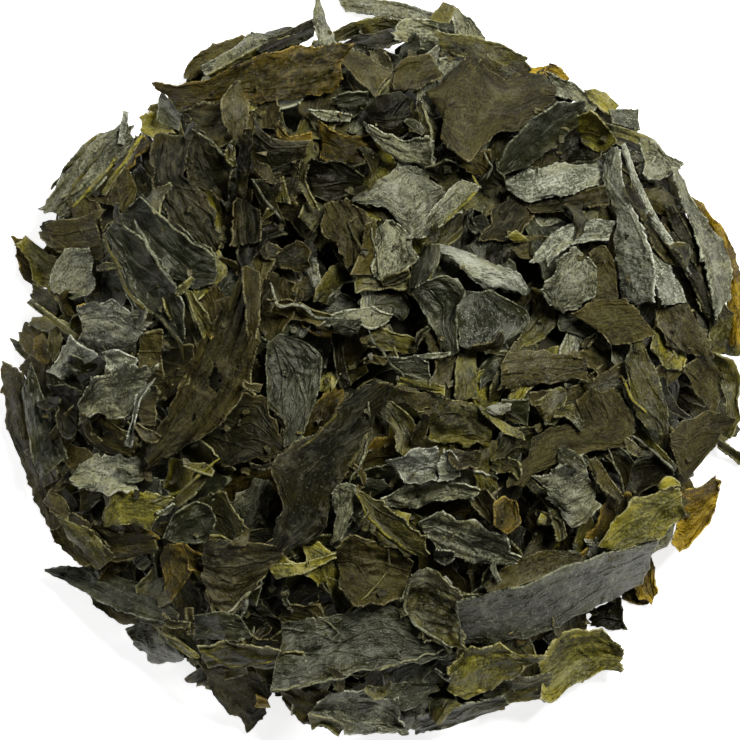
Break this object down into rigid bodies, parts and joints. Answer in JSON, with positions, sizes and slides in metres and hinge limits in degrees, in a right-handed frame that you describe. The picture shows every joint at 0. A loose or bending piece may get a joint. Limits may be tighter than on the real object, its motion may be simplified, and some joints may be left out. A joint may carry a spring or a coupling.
{
  "type": "dried wakame flakes heap",
  "caption": "Round loose heap of dried wakame seaweed: thin, curled, torn leaf flakes lying over each other on a flat base",
  "frame": {"origin": "middle of the flat base on which the heap rests", "axes": "+Z up through the heap's top; +X to the right and +Y up in the picture, which looks straight down"},
  "size_m": [0.1006, 0.1003, 0.0307],
  "materials": {
    "wakame": "dried leaf: dull to satin, near black green to olive, ash grey with salt bloom, amber where thin"
  },
  "bodies": {
    "root": {"wakame_heap": "wakame"}
  },
  "joints": []
}
